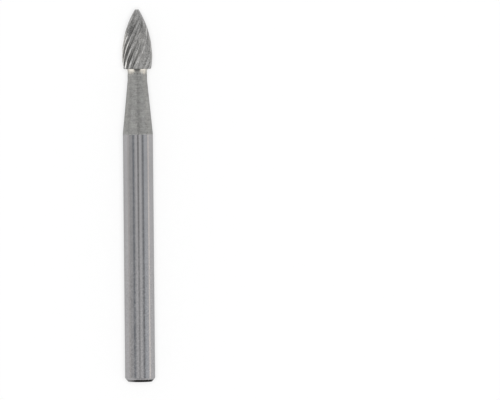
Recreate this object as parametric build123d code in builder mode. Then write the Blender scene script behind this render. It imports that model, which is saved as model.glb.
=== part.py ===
"""A carbide burr: fluted head, braze joint and steel shank, lying with its tip towards +Y, in mm."""

import os
from math import cos, degrees, hypot, radians, sin, sqrt, tan

from build123d import *

os.makedirs("parts", exist_ok=True)

# Overall sizes
shank_diameter = 3.0
head_diameter = 3.0
overall_length = 37.0

# Head
head_length = 5.9
back_taper_length = 0.8
back_diameter = 2.76       # at the foot of the back taper
back_bevel = 0.06
head_straight = 0.4        # cylindrical stretch between the back taper and the nose
tip_diameter = 0.38        # the small flat at the point

# Flutes, right-hand spiral and right-hand cut
flute_count = 15
helix_angle = 25.0         # from the axis
flute_depth = 0.22         # at the widest point; it shrinks with the nose's radius
flute_runout = 0.75        # how far under the tip the flutes end
short_runout = 1.9         # the same for the flutes that stop short
short_every = 5            # one flute in so many stops short, as the teeth crowd together
first_flute = -3.4         # angle of the first cutting edge, at the widest point
root_share = 0.2           # where the root ends, as a share of the pitch from the cutting edge
crown_share = 0.55         # where the tooth's back is bowed most
heel_share = 0.94          # where the back meets the land of the next cutting edge
rake_share = 0.7           # share of the depth that the steep face takes, above the root
back_bow = 0.1             # how far the back bows out, as a share of the depth

# Braze
braze_height = 0.55
flare_height = 0.33
flare_diameter = 2.14      # where the braze spreads on the head's back

# Neck and shank
neck_diameter = 1.93
neck_straight = 0.55
neck_taper_length = 5.4
end_chamfer_length = 0.38  # along the axis
end_chamfer_depth = 0.3    # into the radius
end_round = 0.06           # the worn edges of the chamfer

# Stations along the axis, from the shank's end
head_base = overall_length - head_length
widest = head_base + back_taper_length + head_straight
neck_top = head_base - braze_height
taper_top = neck_top - neck_straight
taper_base = taper_top - neck_taper_length

shank_radius = shank_diameter / 2
head_radius = head_diameter / 2
back_radius = back_diameter / 2
tip_radius = tip_diameter / 2
neck_radius = neck_diameter / 2
flare_radius = flare_diameter / 2

# The burr lies on its shank, with its middle over the origin. Its own frame has Z along the axis
# from the centre of the shank's end; profiles are drawn as (radius, station) and turned round it.
end_centre = (0, -overall_length / 2, shank_radius)
end_plane = Plane(end_centre, x_dir=(1, 0, 0), z_dir=(0, 1, 0))
profile_plane = Plane(end_centre, x_dir=(1, 0, 0), z_dir=(0, 0, 1))
burr_axis = Axis(end_centre, (0, 1, 0))

# The nose is one arc, parallel to the axis at the widest point, that ends at the tip's flat
nose_height = overall_length - widest
nose_narrowing = head_radius - tip_radius
nose_arc = (nose_height**2 + nose_narrowing**2) / (2 * nose_narrowing)

# The body that cuts a gullet stands this far out of the head, and starts this far under it
cutter_margin = 0.06
cutter_levels = 8


def nose_radius(station):
    """The nose's radius at a station, which stays full behind the widest point."""
    ahead = max(station - widest, 0)
    return head_radius - nose_arc + sqrt(nose_arc**2 - ahead**2)


def twist_over(back, front):
    """How far the spiral turns between two stations of the head, in degrees."""
    slant = hypot(front - back, nose_radius(front) - nose_radius(back))
    return degrees(tan(radians(helix_angle)) * slant / nose_radius((back + front) / 2))


def polar(radius, angle):
    """The point at a radius and an angle in degrees."""
    return radius * cos(radians(angle)), radius * sin(radians(angle))


def gullet_outline(station, twist, depth):
    """Closed outline of one gullet: steep rake face, root, and the back of the next tooth."""
    surface = nose_radius(station)
    full_depth = flute_depth * surface / head_radius
    floor = surface - depth
    outside = max(surface, floor + full_depth) + cutter_margin
    pitch = 360 / flute_count
    crown_level = (crown_share - root_share) / (heel_share - root_share) + back_bow
    corners = (
        (outside, 0),
        (floor + full_depth * (1 - rake_share), 0),
        (floor, root_share),
        (floor + full_depth * crown_level, crown_share),
        (floor + full_depth, heel_share),
        (outside, heel_share),
    )
    return [polar(radius, twist + share * pitch) for radius, share in corners]


def gullet(runout):
    """The body that cuts one gullet, from behind the head to past the flute's end on the nose."""
    start = head_base - cutter_margin
    flute_end = overall_length - runout
    step = (flute_end + 4 * cutter_margin - start) / (cutter_levels - 1)
    twist = -twist_over(start, widest)
    with BuildPart() as cutter:
        for level in range(cutter_levels):
            station = start + level * step
            if level:
                twist += twist_over(station - step, station)
            climb = max(station - widest, 0) / (flute_end - widest)
            depth = flute_depth * nose_radius(station) / head_radius * (1 - climb**2)
            with BuildSketch(Plane.XY.offset(station)):
                with BuildLine():
                    Polyline(*gullet_outline(station, twist, depth), close=True)
                make_face()
        loft()
    return cutter.part


long_gullet = gullet(flute_runout)
short_gullet = gullet(short_runout)
turns = [first_flute + n * 360 / flute_count for n in range(flute_count)]
short_turns = turns[::short_every]
long_turns = [turn for turn in turns if turn not in short_turns]

with BuildPart(end_plane) as carbide_head:
    with BuildSketch(profile_plane):
        with BuildLine():
            Polyline(
                (tip_radius, overall_length),
                (0, overall_length),
                (0, head_base),
                (back_radius - back_bevel, head_base),
                (back_radius, head_base + back_bevel),
                (head_radius, widest - head_straight),
                (head_radius, widest),
            )
            RadiusArc((head_radius, widest), (tip_radius, overall_length), -nose_arc)
        make_face()
    revolve(axis=burr_axis)
    with Locations(*(Rotation(0, 0, turn) for turn in long_turns)):
        add(long_gullet, mode=Mode.SUBTRACT)
    with Locations(*(Rotation(0, 0, turn) for turn in short_turns)):
        add(short_gullet, mode=Mode.SUBTRACT)

with BuildPart() as braze_joint:
    with BuildSketch(profile_plane):
        with BuildLine():
            Polyline(
                (flare_radius, head_base),
                (0, head_base),
                (0, neck_top),
                (neck_radius, neck_top),
                (neck_radius, head_base - flare_height),
            )
            TangentArc(
                (neck_radius, head_base - flare_height), (flare_radius, head_base), tangent=(0, 1)
            )
        make_face()
    revolve(axis=burr_axis)

with BuildPart() as shank:
    with BuildSketch(profile_plane):
        with BuildLine():
            Polyline(
                (0, 0),
                (shank_radius - end_chamfer_depth, 0),
                (shank_radius, end_chamfer_length),
                (shank_radius, taper_base),
                (neck_radius, taper_top),
                (neck_radius, neck_top),
                (0, neck_top),
                close=True,
            )
        make_face()
    revolve(axis=burr_axis)
    end_edges = shank.edges().filter_by(GeomType.CIRCLE).group_by(Axis.Y)[:2]
    fillet([edge for group in end_edges for edge in group], end_round)

carbide_head.part.label = "carbide_head"
braze_joint.part.label = "braze_joint"
shank.part.label = "shank"

export_step(carbide_head.part, "parts/carbide_head.step")
export_step(braze_joint.part, "parts/braze_joint.step")
export_step(shank.part, "parts/shank.step")
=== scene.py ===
"""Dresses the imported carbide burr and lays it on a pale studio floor, seen from straight above."""

from math import cos, e, pi, radians, sin, sqrt, tan

import bpy
from mathutils import Matrix, Vector


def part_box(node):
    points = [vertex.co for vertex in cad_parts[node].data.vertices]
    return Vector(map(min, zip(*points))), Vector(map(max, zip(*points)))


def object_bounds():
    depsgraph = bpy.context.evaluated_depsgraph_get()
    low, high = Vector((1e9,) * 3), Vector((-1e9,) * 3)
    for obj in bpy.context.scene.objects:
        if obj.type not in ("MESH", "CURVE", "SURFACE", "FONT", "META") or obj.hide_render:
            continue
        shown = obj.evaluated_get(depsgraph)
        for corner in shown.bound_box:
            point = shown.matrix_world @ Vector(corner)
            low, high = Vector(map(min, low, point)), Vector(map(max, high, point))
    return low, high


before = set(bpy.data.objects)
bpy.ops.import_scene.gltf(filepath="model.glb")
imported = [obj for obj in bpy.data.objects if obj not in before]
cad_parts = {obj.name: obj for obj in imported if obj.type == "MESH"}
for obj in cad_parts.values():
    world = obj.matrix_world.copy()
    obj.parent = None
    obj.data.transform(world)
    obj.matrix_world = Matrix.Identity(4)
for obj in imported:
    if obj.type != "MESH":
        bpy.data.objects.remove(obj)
cad_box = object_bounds()

MM = 0.001

# The burr, from the CAD: it lies along Y with its tip towards +Y. From here on all sizes are in mm,
# and a place along the burr is its Y.
shank_low, shank_high = (Vector(corner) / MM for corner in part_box("shank"))
braze_low, braze_high = (Vector(corner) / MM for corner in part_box("braze_joint"))
head_low, head_high = (Vector(corner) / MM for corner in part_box("carbide_head"))
shank_end, neck_front = shank_low.y, shank_high.y
head_back, tip = head_low.y, head_high.y
shank_radius = (shank_high.x - shank_low.x) / 2
axis_height = shank_low.z + shank_radius
head_radius = shank_radius

neck_length = 5.95               # the matt stretch behind the braze, taper and straight
chamfer_length = 0.38
worn_length = 0.18               # of the chamfer, where its shoulder is worn round
rim_reflection_length = 0.23            # of the chamfer, with a painted dark reflection at its edge with the end face
grip_length = 13                 # the stretch that collets have worn dull
grip_fade = 4                    # how far to both sides of its end the wear fades
back_taper_length = 1.2          # from the head's back to its widest point
tip_radius = 0.19
nose_look_length = 1.6           # behind the tip, the stretch with the nose's own colours
tooth_look_start = 3.2           # how far behind the tip the teeth's colours are fully there

# The nose is one arc, parallel to the axis at the widest point
widest = head_back + back_taper_length
nose_length = tip - widest
nose_arc = ((head_radius - tip_radius) ** 2 + nose_length**2) / (2 * (head_radius - tip_radius))

# The flutes turn evenly, in radians per mm, up to the widest point. Over the nose they keep their
# slant and so turn faster, by the integral of 1 / radius along the arc.
helix_angle = 25                 # from the axis
flute_twist = tan(radians(helix_angle)) / head_radius
nose_slope = sqrt((2 * nose_arc - head_radius) / head_radius)
nose_twist = tan(radians(helix_angle)) * nose_arc / (head_radius * nose_slope)

# Camera: the photograph's frame is 49.7 mm wide at the burr and leans by half a degree. The camera
# stands 1.7 degrees towards the tip from straight above.
frame_width = 49.7
camera_distance = 800
camera_tilt = 1.7
camera_roll = 0.51
view_centre = Vector((11.085, -0.53, axis_height))
sensor_width = 36


class Tree:
    """A node tree under construction. Inputs take a plain value or another node's output."""

    def __init__(self, owner):
        self.tree = owner.node_tree
        self.tree.nodes.clear()

    def node(self, kind, inputs=None, output=0, **settings):
        made = self.tree.nodes.new("ShaderNode" + kind)
        for name, value in settings.items():
            setattr(made, name, value)
        for key, value in (inputs or {}).items():
            if isinstance(value, bpy.types.NodeSocket):
                self.tree.links.new(value, made.inputs[key])
            else:
                made.inputs[key].default_value = value
        return made.outputs[output] if made.outputs else made

    def math(self, operation, *values):
        return self.node("Math", dict(enumerate(values)), operation=operation)

    def times(self, product, *factors):
        for factor in factors:
            product = self.math("MULTIPLY", product, factor)
        return product

    def stretch(self, vector, scale):
        return self.node("VectorMath", {0: vector, 1: scale}, operation="MULTIPLY")

    def noise(self, vector, scale, detail=2.0, roughness=0.5):
        return self.node("TexNoise", {"Vector": vector, "Scale": scale, "Detail": detail,
                                      "Roughness": roughness})

    def ramp(self, value, low, high, to_low=0.0, to_high=1.0, smooth=True):
        return self.node("MapRange", {"Value": value, "From Min": low, "From Max": high,
                                      "To Min": to_low, "To Max": to_high},
                         interpolation_type="SMOOTHSTEP" if smooth else "LINEAR")

    def contrast(self, noise, dark, light):
        """A noise's patches as a value between dark and light."""
        return self.ramp(noise, 0.3, 0.7, dark, light)

    def blend(self, factor, first, second):
        """A value between two values, as mix is for colours."""
        return self.ramp(factor, 0, 1, first, second, smooth=False)

    def mix(self, factor, first, second):
        return self.node("MixRGB", {"Fac": factor, "Color1": first, "Color2": second})

    def tint(self, colour, value):
        """A colour made lighter or darker by a value round 1."""
        grey = self.node("CombineColor", {0: value, 1: value, 2: value})
        return self.node("MixRGB", {"Fac": 1.0, "Color1": colour, "Color2": grey},
                         blend_type="MULTIPLY")

    def bump(self, height, strength, distance, below=None):
        """Relief of a height in mm, on top of the relief below it."""
        inputs = {"Height": height, "Strength": strength, "Distance": distance * MM}
        if below:
            inputs["Normal"] = below
        return self.node("Bump", inputs)

    def burr_place(self):
        """Place on the burr in mm, with the axis along Y through the origin."""
        place = self.node("TexCoord", output=3)
        return self.node("VectorMath", {0: place, 1: (1 / MM,) * 3, 2: (0, 0, -axis_height)},
                         operation="MULTIPLY_ADD")

    def split(self, vector):
        parts = self.node("SeparateXYZ", {0: vector}).node
        return parts.outputs[0], parts.outputs[1], parts.outputs[2]

    def finish(self, inputs):
        self.node("OutputMaterial", {"Surface": self.node("BsdfPrincipled", inputs)})


def new_material(name):
    material = bpy.data.materials.new(name)
    material.use_nodes = True
    return material, Tree(material)


def steel_material():
    """Ground steel: bright on the shank, matt with turning lines on the neck."""
    bright_steel = (0.4, 0.393, 0.4, 1)
    matt_steel = (0.355, 0.353, 0.342, 1)
    # The next colour is the painted dark reflection at the chamfer's edge
    rim_reflection_dark = (0.012, 0.0115, 0.011, 1)
    turning_depth = 0.006
    grinding_depth = 0.0006
    wear_depth = 0.002
    shoulder_drop = 0.05
    material, tree = new_material("burr_steel")
    place = tree.burr_place()
    across, along, _ = tree.split(place)

    # Fine lines round the burr, patches of wear and a slow drift of tone
    turning = tree.noise(tree.stretch(place, (0.7, 22, 0.7)), 1.0, 4.0, 0.7)
    grinding = tree.noise(tree.stretch(place, (1.2, 45, 1.2)), 1.0, 3.0, 0.6)
    feed = tree.noise(tree.stretch(place, (0.8, 5, 0.8)), 1.0, 3.0, 0.6)
    blotches = tree.noise(place, 2.6, 5.0, 0.65)
    specks = tree.noise(place, 8.0, 2.0, 0.7)
    drift = tree.noise(tree.stretch(place, (1, 0.25, 1)), 0.8, 2.0)

    # The neck, with a slightly uneven border, and the stretch that collets grip
    neck_start = neck_front - neck_length
    border = tree.math("ADD", along, tree.blend(tree.noise(place, 6.0), -0.06, 0.06))
    neck = tree.ramp(border, neck_start - 0.03, neck_start + 0.03)
    grip_end = shank_end + grip_length
    grip = tree.ramp(along, grip_end + grip_fade, grip_end - grip_fade)

    mottle = tree.contrast(specks, 0.86, 1.12)
    bright_tone = tree.times(tree.contrast(blotches, 0.96, 1.03), tree.contrast(drift, 0.97, 1.03),
                             tree.blend(grip, 1.0, mottle))
    matt_tone = tree.times(tree.contrast(turning, 0.86, 1.1), tree.contrast(blotches, 0.86, 1.12),
                           mottle, tree.contrast(feed, 0.93, 1.07))
    metal = tree.mix(neck, tree.tint(bright_steel, bright_tone), tree.tint(matt_steel, matt_tone))

    grip_rough = tree.times(grip, tree.ramp(blotches, 0.4, 0.6, 0.0, 0.05))
    bright_rough = tree.math("ADD", tree.ramp(blotches, 0.35, 0.75, 0.12, 0.17), grip_rough)
    roughness = tree.blend(neck, bright_rough, tree.contrast(turning, 0.32, 0.42))

    # Relief of the lines and the wear, and the shoulder of the chamfer worn round
    fine = tree.bump(grinding, 0.25, grinding_depth)
    lines = tree.bump(turning, neck, turning_depth, fine)
    worn = tree.bump(blotches, tree.times(grip, 0.5), wear_depth, lines)
    shoulder = shank_end + chamfer_length
    rounding = tree.ramp(along, shoulder - worn_length, shoulder, smooth=False)
    round_height = tree.math("SUBTRACT", 1.0, tree.times(rounding, rounding))
    rounded = tree.bump(round_height, 1.0, shoulder_drop, worn)

    # The chamfer's edge carries a painted dark reflection, painted fainter towards -X, which leaves
    # the end face bare
    rim_reflection_top = shank_end + rim_reflection_length
    rim_reflection_edge = tree.math("MULTIPLY_ADD", specks, 0.08, along)
    rim_reflection = tree.times(tree.ramp(rim_reflection_edge, rim_reflection_top + 0.055, rim_reflection_top + 0.025),
                         tree.ramp(along, shank_end, shank_end + 0.01),
                         tree.ramp(across, -1.1, -0.3, 0.45, 1.0))
    tree.finish({"Base Color": tree.mix(rim_reflection, metal, rim_reflection_dark), "Metallic": 1.0,
                 "Specular Tint": (0.7, 0.7, 0.7, 1), "Roughness": roughness, "Normal": rounded})
    return material


def flute_turn(tree, across, along, up):
    """The angle round the burr, less the turn of the flutes: it is constant along a flute."""
    turn = tree.math("MULTIPLY_ADD", tree.math("MINIMUM", along, widest), -flute_twist,
                     tree.math("ARCTAN2", across, up))
    # Over the nose the flutes turn with ln((1 + s) / (1 - s)), where s grows with the arc
    ahead = tree.math("MAXIMUM", tree.math("SUBTRACT", along, widest), 0.0)
    arc_angle = tree.math("ARCSINE", tree.math("DIVIDE", ahead, nose_arc))
    slope = tree.times(tree.math("TANGENT", tree.math("DIVIDE", arc_angle, 2.0)), nose_slope)
    growth = tree.math("DIVIDE", tree.math("ADD", 1.0, slope), tree.math("SUBTRACT", 1.0, slope))
    return tree.math("MULTIPLY_ADD", tree.math("LOGARITHM", growth, e), -nose_twist, turn)


def depth_in_head(tree, across, along, up):
    """How deep a point lies under the surface that the flutes are cut into, in mm."""
    ahead = tree.math("MAXIMUM", tree.math("SUBTRACT", along, widest), 0.0)
    squared = tree.math("SUBTRACT", nose_arc**2, tree.times(ahead, ahead))
    surface = tree.math("ADD", head_radius - nose_arc, tree.math("SQRT", squared))
    from_axis = tree.math("ADD", tree.times(across, across), tree.times(up, up))
    return tree.math("SUBTRACT", surface, tree.math("SQRT", from_axis))


def carbide_material():
    """Sintered carbide, ground along the flutes: lighter along the cutting edges, with a painted
    highlight on them and painted shade in the roots towards -X.
    """
    tooth_back = (0.5, 0.495, 0.485, 1)
    gullet = (0.57, 0.564, 0.55, 1)
    # The lands' own lighter grind, and a painted highlight on them towards -X
    edge, highlight_edge = (0.6, 0.59, 0.575, 1), (0.97, 0.95, 0.92, 1)
    # The nose's colour, and the colour of the painted shade in its grooves
    nose, nose_groove_shade_colour = (0.39, 0.386, 0.38, 1), (0.27, 0.267, 0.26, 1)
    edge_round = 0.02
    grinding_depth = 0.004
    material, tree = new_material("burr_carbide")
    place = tree.burr_place()
    across, along, up = tree.split(place)
    turn = flute_turn(tree, across, along, up)
    flute_place = tree.node("CombineXYZ", {0: tree.math("COSINE", turn), 1: tree.times(along, 0.03),
                                           2: tree.math("SINE", turn)})
    grinding = tree.noise(flute_place, 22.0, 4.0, 0.7)
    streaks = tree.noise(flute_place, 7.0, 2.0, 0.6)
    grain = tree.noise(place, 30.0, 3.0, 0.6)
    specks = tree.noise(place, 7.0, 3.0, 0.7)
    blotches = tree.noise(place, 2.2, 4.0, 0.6)

    # The cutting edges are worn lighter in patches. Towards -X they carry a painted highlight, over
    # wider lands
    depth = depth_in_head(tree, across, along, up)
    left_highlight = tree.ramp(across, -0.8, -1.15)
    wear_and_highlight = tree.math("MAXIMUM", left_highlight, tree.ramp(blotches, 0.42, 0.6, 0.25, 1.0))
    land_depth = tree.ramp(left_highlight, 0, 1, 0.085, 0.16)
    full_land_depth = tree.ramp(left_highlight, 0, 1, 0.02, 0.07)
    land = tree.times(tree.ramp(depth, land_depth, full_land_depth), wear_and_highlight)
    root = tree.ramp(depth, 0.09, 0.17)
    nose_groove_shade_depth = tree.ramp(depth, 0.006, 0.03)

    # Painted shade: the gullets are darker towards -X on the flutes, and the nose's grooves are
    # darker, fading out towards +X
    fluted = tree.ramp(along, tip - nose_look_length, tip - tooth_look_start)
    shaded_flute_root = tree.tint(gullet, tree.ramp(across, -1.1, 0.1, 0.32, 1.0))
    teeth = tree.mix(land, tree.mix(root, tooth_back, shaded_flute_root),
                     tree.mix(left_highlight, edge, highlight_edge))
    nose_groove_shade = tree.tint(nose_groove_shade_colour, tree.ramp(across, -0.3, 0.4, 0.95, 1.45))
    colour = tree.mix(fluted, tree.mix(nose_groove_shade_depth, nose, nose_groove_shade), teeth)

    # Specks and streaks, stronger on the nose. Painted shade as a dark edge at the head's back, where
    # it meets the braze. On the side towards +X, painted shade on the teeth and painted light on the
    # nose. The tip has no streaks.
    speck_tone = tree.ramp(specks, 0.32, 0.68, tree.ramp(fluted, 0, 1, 0.6, 0.74), 1.2)
    streak_tone = tree.ramp(streaks, 0.35, 0.65, tree.ramp(fluted, 0, 1, 0.7, 0.92),
                            tree.ramp(fluted, 0, 1, 1.25, 1.05))
    below_tip = tree.ramp(along, tip - 0.2, tip - 1.4)
    # Painted shade on the teeth and painted light on the nose, on the side towards +X
    plus_x_shade_and_light = tree.ramp(fluted, 0, 1, 1.1, 0.8)
    tone = tree.times(tree.contrast(grinding, 0.85, 1.12), tree.contrast(blotches, 0.88, 1.1),
                      speck_tone, tree.blend(below_tip, 1.0, streak_tone),
                      tree.ramp(along, head_back + 0.1, head_back + 0.04, 1.0, 0.65),
                      tree.ramp(across, 0.5, 1.35, 1.0, plus_x_shade_and_light))

    rounded = tree.node("Bevel", {"Radius": edge_round * MM}, samples=6)
    lines = tree.bump(grinding, 0.5, grinding_depth, rounded)
    tree.finish({"Base Color": tree.tint(colour, tone), "Metallic": 1.0,
                 "Roughness": tree.contrast(grain, 0.22, 0.34),
                 "Specular Tint": (0.9, 0.9, 0.9, 1), "Normal": lines})
    return material


def braze_material():
    """Silver braze that ran and set: warm white and rippled, with a grey stretch on the upper side."""
    thick_silver, thin_silver = (0.93, 0.88, 0.79, 1), (0.36, 0.355, 0.34, 1)
    # The grey of the stretch on the upper side
    upper_grey_metal = (0.34, 0.335, 0.32, 1)
    # The colour of the painted shade in the gap under the head
    gap_shade_colour = (0.13, 0.127, 0.12, 1)
    ripple_depth = 0.02
    pit_depth = 0.003
    material, tree = new_material("burr_braze")
    place = tree.burr_place()
    across, along, up = tree.split(place)
    from_top = tree.math("ABSOLUTE", tree.times(tree.math("ARCTAN2", across, up), 180 / pi))
    ripples = tree.noise(tree.stretch(place, (1, 2.5, 1)), 2.4, 3.0, 0.5)
    pits = tree.noise(place, 14.0, 3.0, 0.6)

    # The silver thins towards the neck, where its grey upper stretch is widest. On top, next to the
    # head, painted shade darkens the gap between head and braze.
    thin = tree.ramp(tree.math("MULTIPLY_ADD", ripples, 0.2, along),
                     braze_high.y + 0.05, braze_low.y + 0.05, smooth=False)
    upper_grey_angle = tree.math("MULTIPLY_ADD", thin, 6.0, 12.0)
    from_upper_grey = tree.math("SUBTRACT", from_top, upper_grey_angle)
    upper_grey = tree.ramp(tree.math("MULTIPLY_ADD", pits, 6.0, from_upper_grey), 10.0, -3.0)
    gap_shade = tree.times(tree.ramp(thin, 0.3, 0.05), tree.ramp(from_top, 24, 12))
    silver = tree.mix(upper_grey, tree.mix(thin, thick_silver, thin_silver), upper_grey_metal)
    silver = tree.mix(gap_shade, silver, gap_shade_colour)

    # Painted shade: the braze is darker at its flanks towards -X and +X
    flank_shade = tree.ramp(tree.math("ABSOLUTE", across), 0.7, 0.93, 1.0, 0.53)
    tone = tree.times(tree.contrast(ripples, 0.93, 1.02), tree.ramp(pits, 0.62, 0.72, 1.0, 0.85),
                      flank_shade)
    waves = tree.bump(ripples, 0.4, ripple_depth)
    tree.finish({"Base Color": tree.tint(silver, tone), "Metallic": 1.0,
                 "Roughness": tree.contrast(pits, 0.14, 0.22),
                 "Normal": tree.bump(pits, 0.4, pit_depth, waves)})
    return material


for node, material in (("shank", steel_material()), ("carbide_head", carbide_material()),
                       ("braze_joint", braze_material())):
    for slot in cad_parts[node].material_slots:
        slot.material = material


sky_light = 0.4                  # the share of the floor's light that comes from all round
glow_share = 0.6                 # the share of the floor's look that is plain white, not lit paper


def build_floor():
    """A wide white floor under the burr, which keeps the burr's shadow."""
    reach = 1.5                  # m, to each side
    mesh = bpy.data.meshes.new("studio_floor")
    level = cad_box[0][2]
    mesh.from_pydata([(-reach, -reach, level), (reach, -reach, level),
                      (reach, reach, level), (-reach, reach, level)], [], [(0, 1, 2, 3)])
    floor = bpy.data.objects.new("studio_floor", mesh)
    bpy.context.collection.objects.link(floor)
    material, tree = new_material("studio_paper")
    grain = tree.noise(tree.node("TexCoord", output=3), 900.0, 3.0)
    paper = tree.tint((0.985, 0.985, 0.985, 1), tree.contrast(grain, 0.995, 1.0))
    lit = tree.node("BsdfDiffuse", {"Color": paper, "Roughness": 0.9})
    white = tree.node("Emission", {"Color": (1, 1, 1, 1), "Strength": 1.0})
    path = tree.node("LightPath").node.outputs
    seen = tree.math("MAXIMUM", tree.math("MAXIMUM", path["Is Camera Ray"], path["Is Glossy Ray"]),
                     path["Is Transmission Ray"])
    surface = tree.node("MixShader", {0: tree.times(seen, glow_share), 1: lit, 2: white})
    tree.node("OutputMaterial", {"Surface": surface})
    mesh.materials.append(material)


# The studio as the burr reflects it: rings of panels round the burr's axis, from the shank's side
# to the tip's side. A ring says from how many degrees towards the tip it reaches, over how many
# degrees one panel fades into the next, and for each of its panels: the azimuth where it starts,
# from straight up towards +X, its brightness, and how warm it is (cool below 0).
rings = (
    (-90, 30, ((-180, 0.95, 0.0), (-90, 0.85, 0.0), (90, 0.95, 0.0))),
    (-56, 24, ((-180, 0.95, 0.0), (-42, 0.6, 0.0), (42, 0.82, 0.0), (84, 0.95, 0.0))),
    (-8, 3, ((-180, 0.88, 0.03), (-84, 0.80, 0.03), (-72, 0.64, 0.0), (-44, 0.36, -0.07),
             (-29, 0.70, -0.01), (-19, 0.90, 0.0), (-10, 0.76, 0.0), (10, 0.92, 0.0),
             (22, 0.70, -0.01), (30, 0.36, -0.04), (44, 0.76, -0.05), (54, 0.85, -0.03),
             (80, 1.7, 0.07), (97, 0.95, 0.06), (130, 0.9, 0.0))),
    (-2.1, 3, ((-180, 0.88, 0.02), (-84, 0.80, 0.02), (-72, 0.64, 0.0), (-44, 0.36, -0.07),
               (-29, 0.70, -0.01), (-19, 0.90, 0.0), (-10, 0.74, 0.0), (-4, 0.0, 0.0),
               (4, 0.74, 0.0), (10, 0.92, 0.0), (22, 0.70, -0.01), (30, 0.36, -0.04),
               (44, 0.74, -0.04), (54, 0.76, -0.02), (78, 1.0, 0.05), (100, 0.85, 0.03))),
    (4, 4, ((-180, 0.6, 0.0), (-95, 0.7, 0.0), (-70, 1.6, 0.0), (-2, 0.1, 0.0), (12, 1.15, 0.0),
            (25, 1.45, 0.0), (66, 0.95, 0.0))),
    (14, 20, ((-180, 0.85, 0.0), (-90, 0.38, 0.0), (-45, 0.42, 0.0), (80, 0.45, 0.0))),
    (34, 30, ((-180, 0.6, 0.0), (-60, 0.8, 0.0), (60, 0.6, 0.0))),
)
ring_fade = 2.5                  # degrees over which one ring fades into the next


def panel_colour(brightness, warmth):
    return brightness * (1 + warmth), brightness, brightness * (1 - warmth), 1


def ring_of_panels(tree, turn, fade, panels):
    """A colour for each turn, 0 to 1, round the burr's axis."""
    colours = tree.node("ValToRGB", {"Fac": turn})
    ramp = colours.node.color_ramp
    level = panel_colour(*panels[-1][1:])
    for element in ramp.elements:
        element.color = level
    for start, *tone in panels[1:]:
        for azimuth in (start - fade / 2, start + fade / 2):
            stop = ramp.elements.new((azimuth + 180) / 360)
            stop.color = level
            level = panel_colour(*tone)
    return colours


def build_studio():
    """A bright room: soft panels to the burr's reflections, plain white to the camera."""
    world = bpy.data.worlds.new("studio")
    world.use_nodes = True
    world.cycles.sampling_method = "NONE"
    bpy.context.scene.world = world
    tree = Tree(world)
    x, y, z = tree.split(tree.node("TexCoord", output=0))
    turn = tree.math("MULTIPLY_ADD", tree.math("ARCTAN2", x, z), 1 / radians(360), 0.5)
    towards_tip = tree.times(tree.math("ARCSINE", y), 180 / pi)
    reflected = ring_of_panels(tree, turn, *rings[0][1:])
    for start, fade, panels in rings[1:]:
        reached = tree.ramp(towards_tip, start - ring_fade / 2, start + ring_fade / 2)
        reflected = tree.mix(reached, reflected, ring_of_panels(tree, turn, fade, panels))

    path = tree.node("LightPath").node.outputs
    seen = tree.math("MAXIMUM", path["Is Camera Ray"], path["Is Transmission Ray"])
    light = tree.mix(path["Is Diffuse Ray"], reflected, (sky_light, sky_light, sky_light, 1))
    colour = tree.mix(seen, light, (1, 1, 1, 1))
    background = tree.node("Background", {"Color": colour, "Strength": 1.0})
    tree.node("OutputWorld", {"Surface": background})


def build_lamp():
    """A soft lamp that lights the floor, together with the sky, as white. No metal reflects it."""
    data = bpy.data.lights.new("overhead", "SUN")
    data.energy = pi * (1 - sky_light)
    data.angle = radians(30)
    lamp = bpy.data.objects.new("overhead", data)
    lamp.rotation_euler = (radians(1), radians(2), 0)
    lamp.visible_glossy = False
    bpy.context.collection.objects.link(lamp)


def build_camera():
    """The photograph's view: almost straight down, from far away, with the burr left of centre."""
    tilt, roll = radians(camera_tilt), radians(camera_roll)
    forward = Vector((0, -sin(tilt), -cos(tilt)))
    level_up = Vector((0, cos(tilt), -sin(tilt)))
    right = cos(roll) * Vector((1, 0, 0)) - sin(roll) * level_up
    up = sin(roll) * Vector((1, 0, 0)) + cos(roll) * level_up
    data = bpy.data.cameras.new("photo_view")
    data.sensor_width = sensor_width
    data.lens = sensor_width * camera_distance / frame_width
    camera = bpy.data.objects.new("photo_view", data)
    turn = Matrix((right, up, -forward)).transposed()
    place = (view_centre - camera_distance * forward) * MM
    camera.matrix_world = Matrix.Translation(place) @ turn.to_4x4()
    bpy.context.collection.objects.link(camera)
    bpy.context.scene.camera = camera


build_floor()
build_studio()
build_lamp()
build_camera()
bpy.context.scene.view_settings.view_transform = "Standard"
